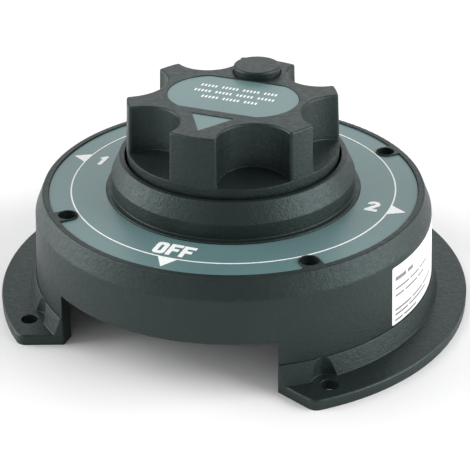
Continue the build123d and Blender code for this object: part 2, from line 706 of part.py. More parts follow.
def rating_sticker():
    """A paper label wrapped on the drum wall between the shoulder and the skirt."""
    draft = (FOOT_R - DRUM_R) / (SHOULDER_Z - SKIRT_Z)
    low = SKIRT_Z + STICKER_EDGE
    high = SHOULDER_Z - 4 * STICKER_EDGE
    low_r = DRUM_R + (SHOULDER_Z - low) * draft
    high_r = DRUM_R + (SHOULDER_Z - high) * draft
    corners = [(low_r, low), (low_r + STICKER_T, low), (high_r + STICKER_T, high), (high_r, high)]
    section = make_face(Polyline(*[Vector(0, -r, z) for r, z in corners], close=True))
    label = revolve(section, Axis.Z, revolution_arc=STICKER_SPAN)
    return Rot(0, 0, STICKER_START) * label


# ---- knob ----
def inlay_outline(grow):
    """The rounded plate on the knob: straight long sides and wide round ends."""
    centre = INLAY_HALF_X - INLAY_END_R
    band = Rectangle(4 * INLAY_HALF_X, 2 * (INLAY_HALF_Y + grow))
    ends = Pos(centre, 0) * Circle(INLAY_END_R + grow) + Pos(-centre, 0) * Circle(INLAY_END_R + grow)
    corner = math.sqrt(INLAY_END_R**2 - min(INLAY_HALF_Y, INLAY_END_R - 0.1) ** 2)
    ends += Rectangle(2 * (centre + corner), 2 * (INLAY_HALF_Y + grow))
    return Pos(0, INLAY_Y) * (ends & band)


def pointer_outline(grow):
    corners = [
        (-POINTER_HALF - 1.6 * grow, -POINTER_BACK + grow),
        (0, -POINTER_TIP - 2 * grow),
        (POINTER_HALF + 1.6 * grow, -POINTER_BACK + grow),
    ]
    return make_face(Polyline(*corners, close=True))


def hollow(angle, radius, distance):
    """The cutter of one finger hollow, with a floor that falls towards the rim."""
    column = rod(radius, GRIP_Z - 5, KNOB_TOP + 5, (0, -distance))
    run = KNOB_R - (distance - radius)
    slope = math.degrees(math.atan2(HOLLOW_FALL, run))
    slab = Pos(0, 0, -GRIP_H) * Box(4 * KNOB_R, 4 * KNOB_R, 2 * GRIP_H)
    below = Pos(0, -KNOB_R, GRIP_Z) * Rot(slope, 0, 0) * slab
    return Rot(0, 0, angle) * (column - below)


def grip():
    body = turned(
        [
            (0, KNOB_Z),
            (KNOB_FOOT_R, KNOB_Z, 0.5),
            (KNOB_R, GRIP_Z, 1.0),
            (KNOB_R - KNOB_TAPER, KNOB_TOP),
            (0, KNOB_TOP),
        ]
    )
    for angle, radius, distance in HOLLOWS:
        for side in (-1, 1):
            body -= hollow(side * angle, radius, distance)
    corners = body.edges().filter_by(lambda e: upright(e) and on_grip(e))
    body = fillet(corners, 1.0)
    top = body.edges().filter_by(lambda e: abs(e.center().Z - KNOB_TOP) < 0.01)
    return fillet(top, 0.8)


def upright(edge):
    """An edge that climbs the whole grip, as between two hollows."""
    return edge.bounding_box().size.Z > GRIP_H / 2


def on_grip(edge):
    middle = edge.center()
    return math.hypot(middle.X, middle.Y) > KNOB_R - KNOB_TAPER - 2


def knob():
    body = grip()
    body -= rod(SKIRT_IN, KNOB_Z - 1, SKIRT_ROOF)
    body -= rod(KNOB_CAVITY_R, SKIRT_ROOF - 1, WEB_Z)
    body -= rod(LOBE_CORE_R, SKIRT_ROOF - 1, WEB_Z, (0, LOBE_CORE_IN - KNOB_R))
    body += rod(HUB_R, KNOB_HUB_Z, WEB_Z + 1)
    for step in range(RIB_COUNT):
        rib = block(-RIB_HALF, RIB_HALF, HUB_R - 1, SKIRT_IN + 1, KNOB_HUB_Z + 2, SKIRT_ROOF + 1)
        body += Rot(0, 0, (step + 0.5) * 360 / RIB_COUNT) * rib
    body += rod(WELL_R + WELL_WALL, WELL_Z - WELL_FLOOR, WEB_Z + 1, (0, BUTTON_Y))
    body += rod(PIN_R + GUIDE_WALL, GUIDE_Z, WELL_Z, (0, BUTTON_Y))
    body -= square_bar(SQUARE + 2 * SLIP_FIT, KNOB_HUB_Z - 1, SQUARE_TOP + SLIP_FIT)
    body -= rod(KNOB_SCREW_R + SLIP_FIT, SQUARE_TOP, KNOB_TOP)
    body -= rod(KNOB_WASHER_R + EASY_FIT, KNOB_SEAT_Z, KNOB_TOP + 1)
    body -= rod(WELL_R, WELL_Z, KNOB_TOP + 1, (0, BUTTON_Y))
    body -= rod(PIN_R + RUN_FIT, KNOB_Z - 1, WELL_Z + 1, (0, BUTTON_Y))
    body -= plate(inlay_outline(PLATE_FIT), INLAY_Z, KNOB_TOP + 1)
    body -= plate(pointer_outline(PLATE_FIT), INLAY_Z, KNOB_TOP + 1)
    return body


def knob_inlay():
    return plate(inlay_outline(0), INLAY_Z, INLAY_Z + INLAY_T)


def pointer_inlay():
    return plate(pointer_outline(0), INLAY_Z, INLAY_Z + INLAY_T)


def inlay_marks():
    """Three rows of plain dashes in place of the printed warning."""
    rows = ((6.6, 17.2), (1.4, 18.3), (-3.7, 12.2))
    dashes = []
    for centre_y, half in rows:
        count = int(2 * half / 2.4)
        pitch = 2 * half / count
        for step in range(count):
            if step % 6 != 5:
                x = -half + (step + 0.5) * pitch
                dashes.append(Pos(x, centre_y) * Rectangle(pitch * 0.62, 2.4))
    low = INLAY_Z + INLAY_T
    return spread([plate(dash, low, low + PRINT_T) for dash in dashes])


def knob_screw():
    head_z = KNOB_SEAT_Z + KNOB_WASHER_T
    head = rod(KNOB_SCREW_HEAD_R, head_z, head_z + KNOB_SCREW_HEAD_H)
    head = fillet(head.edges().group_by(Axis.Z)[-1], 1.2)
    socket = plate(RegularPolygon(2.3, 6), head_z + 1.2, head_z + KNOB_SCREW_HEAD_H + 1)
    return head - socket + rod(KNOB_SCREW_R, SQUARE_TOP - KNOB_SCREW_L, head_z)


def knob_washer():
    return tube(KNOB_SCREW_R + SLIP_FIT, KNOB_WASHER_R, KNOB_SEAT_Z, KNOB_SEAT_Z + KNOB_WASHER_T)


# ---- shaft, rotor and moving contact ----
def drive_shaft():
    body = rod(JOURNAL_R, BAY_H + JOURNAL_FLOOR + SLIP_FIT, MOVING_Z)
    body += square_bar(SQUARE, MOVING_Z, ROTOR_TOP)
    body += rod(SHAFT_R, ROTOR_TOP, KNOB_HUB_Z - SLIP_FIT)
    body += square_bar(SQUARE, KNOB_HUB_Z - 1, SQUARE_TOP)
    body -= tube(SHAFT_R - 2 * SEAL_WIRE_R, SHAFT_R + 1, GROOVE_Z, GROOVE_Z + GROOVE_H)
    return body - rod(KNOB_SCREW_R, SQUARE_TOP - KNOB_SCREW_L - 1, SQUARE_TOP + 1)


def shaft_o_ring():
    return Pos(0, 0, GROOVE_Z + GROOVE_H / 2) * Torus(SHAFT_R - SEAL_WIRE_R, SEAL_WIRE_R)


def thrust_washer():
    return tube(SHAFT_R + SLIP_FIT, SHAFT_R + THRUST_W, ROTOR_TOP, FLOOR_Z - SLIP_FIT)


def rotor_disc():
    body = rod(ROTOR_R, ROTOR_Z, ROTOR_TOP)
    body = chamfer(body.edges(), 0.8)
    body += square_bar(HUB_SQUARE, BASE_TOP + HUB_AIR, ROTOR_Z + 1)
    body -= square_bar(SQUARE + 2 * SLIP_FIT, MOVING_Z - SLIP_FIT, ROTOR_TOP + 1)
    body -= rod(JOURNAL_R + EASY_FIT, BASE_TOP, MOVING_Z + 1)
    for angle, radius in SPRING_SPOTS:
        place = at(radius, angle)
        body -= rod(SPRING_POCKET_R, ROTOR_Z - 1, SPRING_ROOF, (place.X, place.Y))
    for angle in DETENT_ANGLES:
        place = at(DETENT_R, angle)
        body -= rod(BALL_R + RUN_FIT, BALL_BORE_Z, ROTOR_TOP + 1, (place.X, place.Y))
    return body


def moving_contact():
    low = MOVING_Z
    high = MOVING_Z + MOVING_T
    pad = plate(sector(RING_IN, TRACK_OUT, -PAD_HALF, PAD_HALF), low, high)
    body = rod(RING_OUT, low, high) + pad
    return body - square_bar(HUB_SQUARE + 2 * SLIP_FIT, low - 1, high + 1)


def contact_springs():
    coils = []
    for angle, radius in SPRING_SPOTS:
        place = at(radius, angle)
        low = MOVING_Z + MOVING_T
        coils.append(spring(SPRING_R, SPRING_WIRE_R, low, SPRING_ROOF, (place.X, place.Y)))
    return spread(coils)


def detent_ball(angle):
    return Pos(at(DETENT_R, angle, BALL_Z)) * Sphere(BALL_R)


def detent_spring(angle):
    """The coil under a ball, which it meets on a circle of the coil's own radius."""
    place = at(DETENT_R, angle)
    reach = BALL_R + BALL_SPRING_WIRE_R
    high = BALL_Z - math.sqrt(reach**2 - BALL_SPRING_R**2) + BALL_SPRING_WIRE_R
    return spring(BALL_SPRING_R, BALL_SPRING_WIRE_R, BALL_BORE_Z, high, (place.X, place.Y))


# ---- lock button ----
def lock_button():
    cap = rod(BUTTON_R, BUTTON_Z, BUTTON_TOP, (0, BUTTON_Y))
    cap = fillet(cap.edges().group_by(Axis.Z)[-1], 0.9)
    return cap - rod(PIN_R, BUTTON_Z - 1, PIN_TOP, (0, BUTTON_Y))


def lock_pin():
    pin = rod(PIN_R, PIN_Z, PIN_TOP, (0, BUTTON_Y))
    pin = chamfer(pin.edges().group_by(Axis.Z)[0], 0.5)
    return pin - tube(PIN_R - CLIP_BITE, PIN_R + 1, CLIP_TOP - CLIP_T, CLIP_TOP, (0, BUTTON_Y))


def lock_clip():
    low = CLIP_TOP - CLIP_T
    ring = tube(PIN_R - CLIP_BITE, CLIP_R, low, CLIP_TOP, (0, BUTTON_Y))
    half = PIN_R * 0.6
    return ring - block(-half, half, BUTTON_Y, BUTTON_Y + CLIP_R + 1, low - 1, CLIP_TOP + 1)


def lock_spring():
    return spring(BUTTON_SPRING_R, BUTTON_SPRING_WIRE_R, WELL_Z, BUTTON_Z, (0, BUTTON_Y))


def main():
    nodes = {
        "housing": housing(),
        "collar": collar(),
        "mounting_ear_1": mounting_ear(-1),
        "mounting_ear_2": mounting_ear(1),
        "dial_plate": dial_plate(),
        "dial_marks": dial_marks(),
        "rating_sticker": rating_sticker(),
        "contact_base": contact_base(),
        "body_seal": body_seal(),
        "cover_screws": cover_screws(),
        "thread_inserts": thread_inserts(),
        "common_contact": common_contact(),
        "contact_1": bank_contact(-1),
        "contact_2": bank_contact(1),
        "terminal_studs": terminal_studs(),
        "flat_washers": flat_washers(),
        "lock_washers": lock_washers(),
        "stud_nuts": stud_nuts(),
        "knob": knob(),
        "knob_inlay": knob_inlay(),
        "pointer_inlay": pointer_inlay(),
        "inlay_marks": inlay_marks(),
        "knob_screw": knob_screw(),
        "knob_washer": knob_washer(),
        "drive_shaft": drive_shaft(),
        "shaft_o_ring": shaft_o_ring(),
        "thrust_washer": thrust_washer(),
        "rotor_disc": rotor_disc(),
        "moving_contact": moving_contact(),
        "contact_springs": contact_springs(),
        "detent_spring_a": detent_spring(DETENT_ANGLES[0]),
        "detent_spring_b": detent_spring(DETENT_ANGLES[1]),
        "detent_ball_a": detent_ball(DETENT_ANGLES[0]),
        "detent_ball_b": detent_ball(DETENT_ANGLES[1]),
        "lock_button": lock_button(),
        "lock_pin": lock_pin(),
        "lock_clip": lock_clip(),
        "lock_spring": lock_spring(),
    }
    os.makedirs("parts", exist_ok=True)
    for name, shape in nodes.items():
        export_step(shape, f"parts/{name}.step")


main()
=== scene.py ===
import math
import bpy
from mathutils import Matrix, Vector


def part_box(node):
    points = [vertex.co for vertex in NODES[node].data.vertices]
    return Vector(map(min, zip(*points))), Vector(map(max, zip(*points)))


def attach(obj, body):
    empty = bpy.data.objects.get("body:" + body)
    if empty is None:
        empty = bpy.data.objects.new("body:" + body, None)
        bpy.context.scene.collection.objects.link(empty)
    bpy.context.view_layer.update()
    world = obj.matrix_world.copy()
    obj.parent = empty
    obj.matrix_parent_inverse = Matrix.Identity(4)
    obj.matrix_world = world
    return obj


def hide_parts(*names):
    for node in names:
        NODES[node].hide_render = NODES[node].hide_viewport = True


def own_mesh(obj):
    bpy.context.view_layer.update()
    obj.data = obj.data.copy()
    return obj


bl_info = {
    "name": "Battery Switch Finish",
    "version": (1, 0, 0),
    "blender": (4, 5, 0),
    "location": "View3D > Sidebar > Switch",
    "description": "Finishes, label, stud threads, lights and camera for a four-position battery switch",
    "category": "Object",
}

import bmesh
import bpy
from bpy.props import FloatProperty, FloatVectorProperty, IntProperty, PointerProperty
from mathutils import Matrix, Vector

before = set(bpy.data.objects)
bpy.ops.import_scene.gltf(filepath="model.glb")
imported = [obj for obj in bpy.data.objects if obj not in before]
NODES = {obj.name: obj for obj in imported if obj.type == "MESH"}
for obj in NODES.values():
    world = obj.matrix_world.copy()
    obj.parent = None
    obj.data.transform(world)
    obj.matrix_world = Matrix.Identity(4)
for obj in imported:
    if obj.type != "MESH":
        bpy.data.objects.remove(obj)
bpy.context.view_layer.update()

# ---- where noise nodes give their values, and sockets of the colour mix that share a name ----
NOISE_LOW = 0.3
NOISE_HIGH = 0.7
MIX_FIRST_COLOUR = 6
MIX_SECOND_COLOUR = 7
MIX_COLOUR_OUT = 2

# ---- colours that are set once ----
BRASS = (0.74, 0.55, 0.26)
COPPER = (0.72, 0.38, 0.25)
STEEL = (0.60, 0.61, 0.62)
SPRING_WIRE = (0.50, 0.50, 0.51)
NYLON = (0.72, 0.72, 0.68)
RUBBER = (0.012, 0.012, 0.012)
FLOOR_CARD = (0.93, 0.93, 0.93)

# ---- softboxes: name, azimuth and elevation in degrees, width in metres, property with the power ----
SOFTBOXES = (
    ("back_softbox", 195.0, 26.0, 1.3, "back_light"),
    ("left_softbox", 285.0, 22.0, 1.2, "left_light"),
    ("right_softbox", 100.0, 24.0, 1.2, "right_light"),
    ("front_softbox", 330.0, 24.0, 0.9, "front_light"),
)
FLOOR_REACH = 3.0  # half the floor's width

# ---- shape of the drum wall under the label, in metres ----
LABEL_LOW_R = 0.079574  # wall at the label's lower edge
LABEL_HIGH_R = 0.078305  # wall at its upper edge
LABEL_START = 69.4  # degrees from OFF towards bank 2
LABEL_SPAN = 50.0  # degrees
LABEL_BACK = 0.00001  # sheet's back above the wall
LABEL_FRONT = 0.00013  # sheet's face above the wall
BAR_FRONT = 0.00015  # printed bars above the wall
BAR_SEGMENTS = 8  # steps along each bar

# Rows of plain bars: middle above the mounting face, thickness, then the ends of each bar along the label.
LABEL_ROWS = (
    (0.0313, 0.0016, ((0.0020, 0.0094), (0.0106, 0.0150))),
    (0.0272, 0.0008, ((0.0020, 0.0118), (0.0128, 0.0206), (0.0218, 0.0296))),
    (0.0243, 0.0008, ((0.0020, 0.0078), (0.0089, 0.0190), (0.0201, 0.0262))),
    (0.0183, 0.0008, ((0.0020, 0.0138), (0.0149, 0.0242), (0.0253, 0.0360))),
    (0.0163, 0.0008, ((0.0020, 0.0109), (0.0120, 0.0281))),
    (0.0139, 0.0008, ((0.0020, 0.0070), (0.0081, 0.0180))),
)

# ---- knob inlay's print, in metres ----
INLAY_ROWS = ((0.0066, 0.0165), (0.0014, 0.0172), (-0.0037, 0.0122))  # each row's middle and half its length
STROKE_PITCH = 0.00145
STROKE_HALF = 0.00036  # half a stroke's width
STROKE_REACH = 0.00098  # half a stroke's length
WORD = 6  # strokes to a group, the last left blank

# ---- lock button's spring, in metres ----
COIL_WIRE_R = 0.0004
COIL_PITCH = 0.00136
COIL_STEPS = 40  # steps to a turn
WIRE_SIDES = 8

# ---- terminal studs, in metres ----
STUD_PLACES = ((0.0501, 180.0), (0.0501, 80.0), (0.0501, -80.0))  # radius and angle of each stud
STUD_R = 0.00476
STUD_TIP_Z = 0.0015
STUD_HEAD_Z = 0.0320
STUD_TOP_Z = 0.0356
STUD_HEAD_R = 0.0076
STUD_CHAMFER = 0.0007
HEAD_CHAMFER = 0.0004
STEPS_PER_TURN = 8  # rows of faces along each turn of the thread
SMOOTH_ANGLE = 35.0  # degrees; sharper edges than this stay sharp


# ---- shared helpers: finishes ----
def colour_property(name, description, default):
    return FloatVectorProperty(
        name=name, description=description, default=default, size=3, min=0.0, max=1.0, subtype="COLOR"
    )


def length_property(name, description, default):
    return FloatProperty(
        name=name,
        description=description,
        default=default,
        min=0.0,
        precision=5,
        subtype="DISTANCE",
        unit="LENGTH",
    )


def power_property(name, description, default):
    return FloatProperty(name=name, description=description, default=default, min=0.0, unit="POWER")


def factor_property(name, description, default):
    return FloatProperty(
        name=name, description=description, default=default, min=0.0, max=1.0, subtype="FACTOR"
    )


def shaded(colour, share):
    """A colour made lighter or darker by a share of itself."""
    return tuple(min(1.0, channel * (1.0 + share)) for channel in colour)


class Finish:
    """A material whose nodes are added one after another."""

    def __init__(self, name):
        self.material = bpy.data.materials.new(name)
        self.material.use_nodes = True
        self.tree = self.material.node_tree
        self.tree.nodes.clear()
        self.shader = self.add("ShaderNodeBsdfPrincipled")
        self.output = self.add("ShaderNodeOutputMaterial")
        self.join(self.shader, "BSDF", self.output, "Surface")
        self.place = self.add("ShaderNodeTexCoord")

    def add(self, kind, **settings):
        """Adds a node. A setting is a property of the node or the value of the input with that name."""
        node = self.tree.nodes.new(kind)
        for key, value in settings.items():
            if key in node.bl_rna.properties:
                setattr(node, key, value)
            else:
                node.inputs[key.replace("_", " ")].default_value = value
        return node

    def join(self, source, output, target, name):
        self.tree.links.new(source.outputs[output], target.inputs[name])

    def noise(self, size, detail=3.0, stretch=(1.0, 1.0, 1.0), seed=0.0):
        """Noise whose features are about size across, in metres, stretched along an axis if asked."""
        mapping = self.add("ShaderNodeMapping")
        mapping.inputs["Scale"].default_value = [1.0 / axis for axis in stretch]
        mapping.inputs["Location"].default_value = (seed, seed * 0.7, seed * 0.3)
        self.join(self.place, "Object", mapping, "Vector")
        node = self.add("ShaderNodeTexNoise", Scale=1.0 / size, Detail=detail, Roughness=0.55)
        self.join(mapping, "Vector", node, "Vector")
        return node

    def span(self, pattern, low, high):
        """Turns a noise pattern's value into a number between low and high."""
        node = self.add(
            "ShaderNodeMapRange", From_Min=NOISE_LOW, From_Max=NOISE_HIGH, To_Min=low, To_Max=high
        )
        self.join(pattern, "Fac", node, "Value")
        return node

    def two_colours(self, pattern, low, high):
        """Runs the base colour between two colours by a noise pattern's value."""
        share = self.span(pattern, 0.0, 1.0)
        mix = self.add("ShaderNodeMix", data_type="RGBA")
        mix.inputs[MIX_FIRST_COLOUR].default_value = (*low, 1.0)
        mix.inputs[MIX_SECOND_COLOUR].default_value = (*high, 1.0)
        self.join(share, "Result", mix, "Factor")
        self.join(mix, MIX_COLOUR_OUT, self.shader, "Base Color")

    def roughness(self, pattern, low, high):
        """Runs the roughness between two values by a noise pattern's value."""
        self.join(self.span(pattern, low, high), "Result", self.shader, "Roughness")

    def relief(self, pattern, depth, below=None):
        """Bumps the surface by a noise pattern, on top of another relief or rounded edge."""
        bump = self.add("ShaderNodeBump", Distance=depth, Strength=1.0)
        self.join(pattern, "Fac", bump, "Height")
        if below is not None:
            self.join(below, "Normal", bump, "Normal")
        return bump

    def soft_edges(self, radius):
        """Rounds sharp edges by a small radius."""
        return self.add("ShaderNodeBevel", samples=6, Radius=radius)

    def normal(self, source):
        self.join(source, "Normal", self.shader, "Normal")


def moulded_plastic(name, look):
    """Spark-textured moulded plastic: fine grain over a coarser one, with soft edges."""
    finish = Finish(name)
    cloud = finish.noise(0.018, 2.0, seed=1.3)
    colour = tuple(look.colour)
    finish.two_colours(cloud, shaded(colour, -0.14), shaded(colour, 0.16))
    fine = finish.noise(look.grain_size, 2.0, seed=0.4)
    coarse = finish.noise(look.grain_size * 2.6, 2.0, seed=2.1)
    finish.roughness(coarse, look.roughness - 0.05, look.roughness + 0.06)
    edges = finish.soft_edges(look.edge_radius)
    grain = finish.relief(coarse, look.grain_depth * 1.4, edges)
    grain = finish.relief(fine, look.grain_depth, grain)
    finish.normal(grain)
    finish.shader.inputs["Specular IOR Level"].default_value = look.shine
    finish.shader.inputs["Specular Tint"].default_value = (*look.sheen_tint, 1.0)
    return finish.material


def printed_foil(name, look):
    """Printed and over-laminated foil with a fine satin texture."""
    finish = Finish(name)
    cloud = finish.noise(0.03, 2.0, seed=3.0)
    colour = tuple(look.colour)
    finish.two_colours(cloud, shaded(colour, -0.05), shaded(colour, 0.05))
    texture = finish.noise(look.texture_size, 3.0, seed=0.8)
    finish.roughness(texture, look.roughness - 0.04, look.roughness + 0.06)
    finish.normal(finish.relief(texture, look.texture_depth))
    finish.shader.inputs["Specular IOR Level"].default_value = look.shine
    return finish.material


def screen_ink(name, colour):
    """A thin layer of opaque ink, slightly uneven."""
    finish = Finish(name)
    patches = finish.noise(0.0016, 3.0, seed=5.0)
    finish.two_colours(patches, shaded(colour, -0.05), shaded(colour, 0.02))
    finish.roughness(patches, 0.38, 0.5)
    finish.normal(finish.relief(patches, 0.00001))
    return finish.material


def label_paper(name, colour):
    """Coated label paper with faint fibres."""
    finish = Finish(name)
    fibres = finish.noise(0.0005, 4.0, stretch=(1.0, 1.0, 0.35), seed=7.0)
    finish.two_colours(fibres, shaded(colour, -0.035), shaded(colour, 0.02))
    finish.roughness(fibres, 0.42, 0.54)
    finish.normal(finish.relief(fibres, 0.000012))
    return finish.material


def worked_metal(name, colour, roughness, lay=(1.0, 1.0, 1.0), tarnish=0.0):
    """Metal with tool marks along its lay and, if asked, a patchy tarnish."""
    finish = Finish(name)
    patches = finish.noise(0.006, 3.0, seed=4.0)
    finish.two_colours(patches, shaded(colour, -0.10 - tarnish), shaded(colour, 0.05))
    marks = finish.noise(0.00022, 3.0, stretch=lay, seed=6.0)
    finish.roughness(marks, roughness - 0.08, roughness + 0.08)
    edges = finish.soft_edges(0.00012)
    finish.normal(finish.relief(marks, 0.000012, edges))
    finish.shader.inputs["Metallic"].default_value = 1.0
    return finish.material


def soft_rubber(name, colour):
    """Matt black rubber with a dusty bloom."""
    finish = Finish(name)
    bloom = finish.noise(0.0012, 4.0, seed=9.0)
    finish.two_colours(bloom, shaded(colour, -0.2), shaded(colour, 0.6))
    finish.roughness(bloom, 0.62, 0.78)
    finish.normal(finish.relief(bloom, 0.00002))
    return finish.material


def paint(names, material):
    """Puts a finish on CAD nodes."""
    for name in names:
        for slot in NODES[name].material_slots:
            slot.material = material


def mesh_piece(name, builder, materials, node, body="base"):
    """Turns a filled bmesh into a piece that rides on a body in place of a CAD node."""
    bmesh.ops.recalc_face_normals(builder, faces=builder.faces)
    mesh = bpy.data.meshes.new(name)
    builder.to_mesh(mesh)
    builder.free()
    for material in materials:
        mesh.materials.append(material)
    mesh.shade_smooth()
    mesh.set_sharp_from_angle(angle=math.radians(SMOOTH_ANGLE))
    piece = bpy.data.objects.new(name, mesh)
    bpy.context.scene.collection.objects.link(piece)
    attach(piece, body)
    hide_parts(node)
    return piece


def at(radius, angle, z=0.0):
    """A place at a radius and an angle in degrees from OFF towards bank 2."""
    a = math.radians(angle)
    return Vector((radius * math.sin(a), -radius * math.cos(a), z))


def towards(azimuth, elevation):
    """A unit vector out to an azimuth and elevation in degrees. Azimuth 0 is the OFF side."""
    level = at(math.cos(math.radians(elevation)), azimuth)
    return level + Vector((0.0, 0.0, math.sin(math.radians(elevation))))


def wrapped_panel(builder, arc, heights, offsets, segments, corner=0.0, material=0):
    """A thin closed panel on the drum wall, between two lengths along the label and two heights."""
    low_z, high_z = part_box("rating_sticker")[0][2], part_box("rating_sticker")[1][2]
    start, end = arc
    steps = [start + (end - start) * i / segments for i in range(segments + 1)]
    if corner:
        ends = [corner * (1.0 - math.cos(math.radians(turn))) for turn in (0, 20, 40, 60, 80)]
        middle = [step for step in steps if start + corner < step < end - corner]
        steps = [start + d for d in ends] + middle + [end - d for d in reversed(ends)]
    columns = []
    for length in steps:
        inset = 0.0
        if corner:
            near = min(corner, length - start, end - length)
            inset = corner - math.sqrt(max(0.0, corner**2 - (corner - near) ** 2))
        angle = LABEL_START + math.degrees(length / LABEL_LOW_R)
        column = []
        for z, offset in (
            (heights[0] + inset, offsets[0]),
            (heights[0] + inset, offsets[1]),
            (heights[1] - inset, offsets[1]),
            (heights[1] - inset, offsets[0]),
        ):
            wall = LABEL_LOW_R + (LABEL_HIGH_R - LABEL_LOW_R) * (z - low_z) / (high_z - low_z)
            column.append(builder.verts.new(at(wall + offset, angle, z)))
        columns.append(column)
    faces = []
    for left, right in zip(columns, columns[1:]):
        for i in range(4):
            j = (i + 1) % 4
            faces.append(builder.faces.new((left[i], right[i], right[j], left[j])))
    faces.append(builder.faces.new(columns[0]))
    faces.append(builder.faces.new(columns[-1][::-1]))
    for face in faces:
        face.material_index = material


def stroke(builder, x, y, low, high):
    """One printed stroke of the knob inlay: a thin closed plate."""
    rings = []
    for z in (low, high):
        corners = ((-1, -1), (1, -1), (1, 1), (-1, 1))
        rings.append([builder.verts.new((x + i * STROKE_HALF, y + j * STROKE_REACH, z)) for i, j in corners])
    for i in range(4):
        j = (i + 1) % 4
        builder.faces.new((rings[0][i], rings[0][j], rings[1][j], rings[1][i]))
    builder.faces.new(rings[0][::-1])
    builder.faces.new(rings[1])


def coil(builder, middle, radius, low, high):
    """A round-wire spring between two heights, with a closed end on its wire."""
    rise = high - low - 2 * COIL_WIRE_R
    steps = max(2, round(rise / COIL_PITCH)) * COIL_STEPS
    rings = []
    for step in range(steps + 1):
        z = low + COIL_WIRE_R + rise * step / steps
        out = at(1.0, 360.0 * step / COIL_STEPS)
        ring = []
        for side in range(WIRE_SIDES):
            turn = math.radians(360.0 * side / WIRE_SIDES)
            place = middle + out * (radius + COIL_WIRE_R * math.cos(turn))
            place.z = z + COIL_WIRE_R * math.sin(turn)
            ring.append(builder.verts.new(place))
        rings.append(ring)
    for low_ring, high_ring in zip(rings, rings[1:]):
        for i in range(WIRE_SIDES):
            j = (i + 1) % WIRE_SIDES
            builder.faces.new((low_ring[i], low_ring[j], high_ring[j], high_ring[i]))
    builder.faces.new(rings[0][::-1])
    builder.faces.new(rings[-1])


def threaded_stud(builder, radius, angle, look):
    """A stud that is threaded from its chamfered free end up to its round head."""
    centre = at(radius, angle)
    rows = round((STUD_HEAD_Z - STUD_TIP_Z) / look.pitch * STEPS_PER_TURN)
    rings = []

    def ring(z, radii):
        places = [at(r, 360.0 * i / look.segments, z) + centre for i, r in enumerate(radii)]
        rings.append([builder.verts.new(place) for place in places])

    for row in range(rows + 1):
        z = STUD_TIP_Z + (STUD_HEAD_Z - STUD_TIP_Z) * row / rows
        widest = min(STUD_R, STUD_R - STUD_CHAMFER + z - STUD_TIP_Z)
        radii = []
        for i in range(look.segments):
            along = (z / look.pitch - i / look.segments) % 1.0
            radii.append(min(widest, STUD_R - look.depth * abs(2.0 * along - 1.0)))
        ring(z, radii)
    for z, r in (
        (STUD_HEAD_Z, STUD_HEAD_R),
        (STUD_TOP_Z - HEAD_CHAMFER, STUD_HEAD_R),
        (STUD_TOP_Z, STUD_HEAD_R - HEAD_CHAMFER),
    ):
        ring(z, [r] * look.segments)
    for low, high in zip(rings, rings[1:]):
        for i in range(look.segments):
            j = (i + 1) % look.segments
            builder.faces.new((low[i], low[j], high[j], high[i]))
    builder.faces.new(rings[0][::-1])
    builder.faces.new(rings[-1])


# ---- properties ----
class MouldedLook(bpy.types.PropertyGroup):
    colour: colour_property("Colour", "Colour of the moulded plastic", (0.0080, 0.0125, 0.0118))
    roughness: factor_property("Roughness", "How matt the plastic is", 0.46)
    shine: factor_property("Shine", "Strength of the plastic's reflection", 0.5)
    sheen_tint: colour_property("Sheen tint", "Tint of the plastic's reflection", (0.76, 1.0, 0.98))
    grain_size: length_property("Grain size", "Size of the moulded grain", 0.00075)
    grain_depth: length_property("Grain depth", "Depth of the moulded grain", 0.00011)
    edge_radius: length_property("Edge radius", "Rounding of the moulding's edges", 0.0006)


class FoilLook(bpy.types.PropertyGroup):
    colour: colour_property("Colour", "Colour of the dial's foil", (0.105, 0.19, 0.195))
    roughness: factor_property("Roughness", "How matt the foil is", 0.34)
    shine: factor_property("Shine", "Strength of the foil's reflection", 0.6)
    texture_size: length_property("Texture size", "Size of the foil's texture", 0.0003)
    texture_depth: length_property("Texture depth", "Depth of the foil's texture", 0.000008)


class LabelLook(bpy.types.PropertyGroup):
    paper: colour_property("Paper", "Colour of the side label", (0.86, 0.87, 0.87))
    ink: colour_property("Ink", "Colour of the label's faint bars", (0.20, 0.205, 0.21))
    white_ink: colour_property("White ink", "Colour of the dial's print", (0.9, 0.92, 0.91))
    corner: length_property("Corner", "Rounding of the label's corners", 0.0008)
    segments: IntProperty(name="Segments", description="Steps round the label", default=96, min=24, max=256)


class ThreadLook(bpy.types.PropertyGroup):
    pitch: length_property("Pitch", "Pitch of the stud thread", 0.0015875)
    depth: length_property("Depth", "Depth of the stud thread", 0.0008)
    segments: IntProperty(name="Segments", description="Steps round each stud", default=48, min=16, max=128)


class StageLook(bpy.types.PropertyGroup):
    lens: FloatProperty(name="Lens", description="Focal length in millimetres", default=106.62, min=10.0)
    azimuth: FloatProperty(name="Azimuth", description="Camera's angle round the switch", default=21.86)
    elevation: FloatProperty(name="Elevation", description="Camera's angle above the floor", default=28.13)
    distance: length_property("Distance", "Camera to the point that it looks at", 0.55786)
    height: length_property("Height", "Height of the point that the camera looks at", 0.030)
    roll: FloatProperty(name="Roll", description="Camera's roll in degrees", default=-0.449)
    shift: FloatVectorProperty(name="Shift", description="Camera's shift", default=(0.0030, -0.0367), size=2)
    surround: FloatProperty(
        name="Surround", description="Brightness of the white surround", default=0.4, min=0.0
    )
    back_light: power_property("Back light", "Power of the light behind, in watts", 5.1)
    left_light: power_property("Left light", "Power of the light at the left, in watts", 20.4)
    right_light: power_property("Right light", "Power of the light at the right, in watts", 23.2)
    front_light: power_property("Front light", "Power of the light in front, in watts", 1.7)
    light_distance: length_property("Light distance", "Softboxes to the point that they face", 1.4)


class SwitchLooks(bpy.types.PropertyGroup):
    moulding: PointerProperty(type=MouldedLook)
    foil: PointerProperty(type=FoilLook)
    label: PointerProperty(type=LabelLook)
    thread: PointerProperty(type=ThreadLook)
    stage: PointerProperty(type=StageLook)


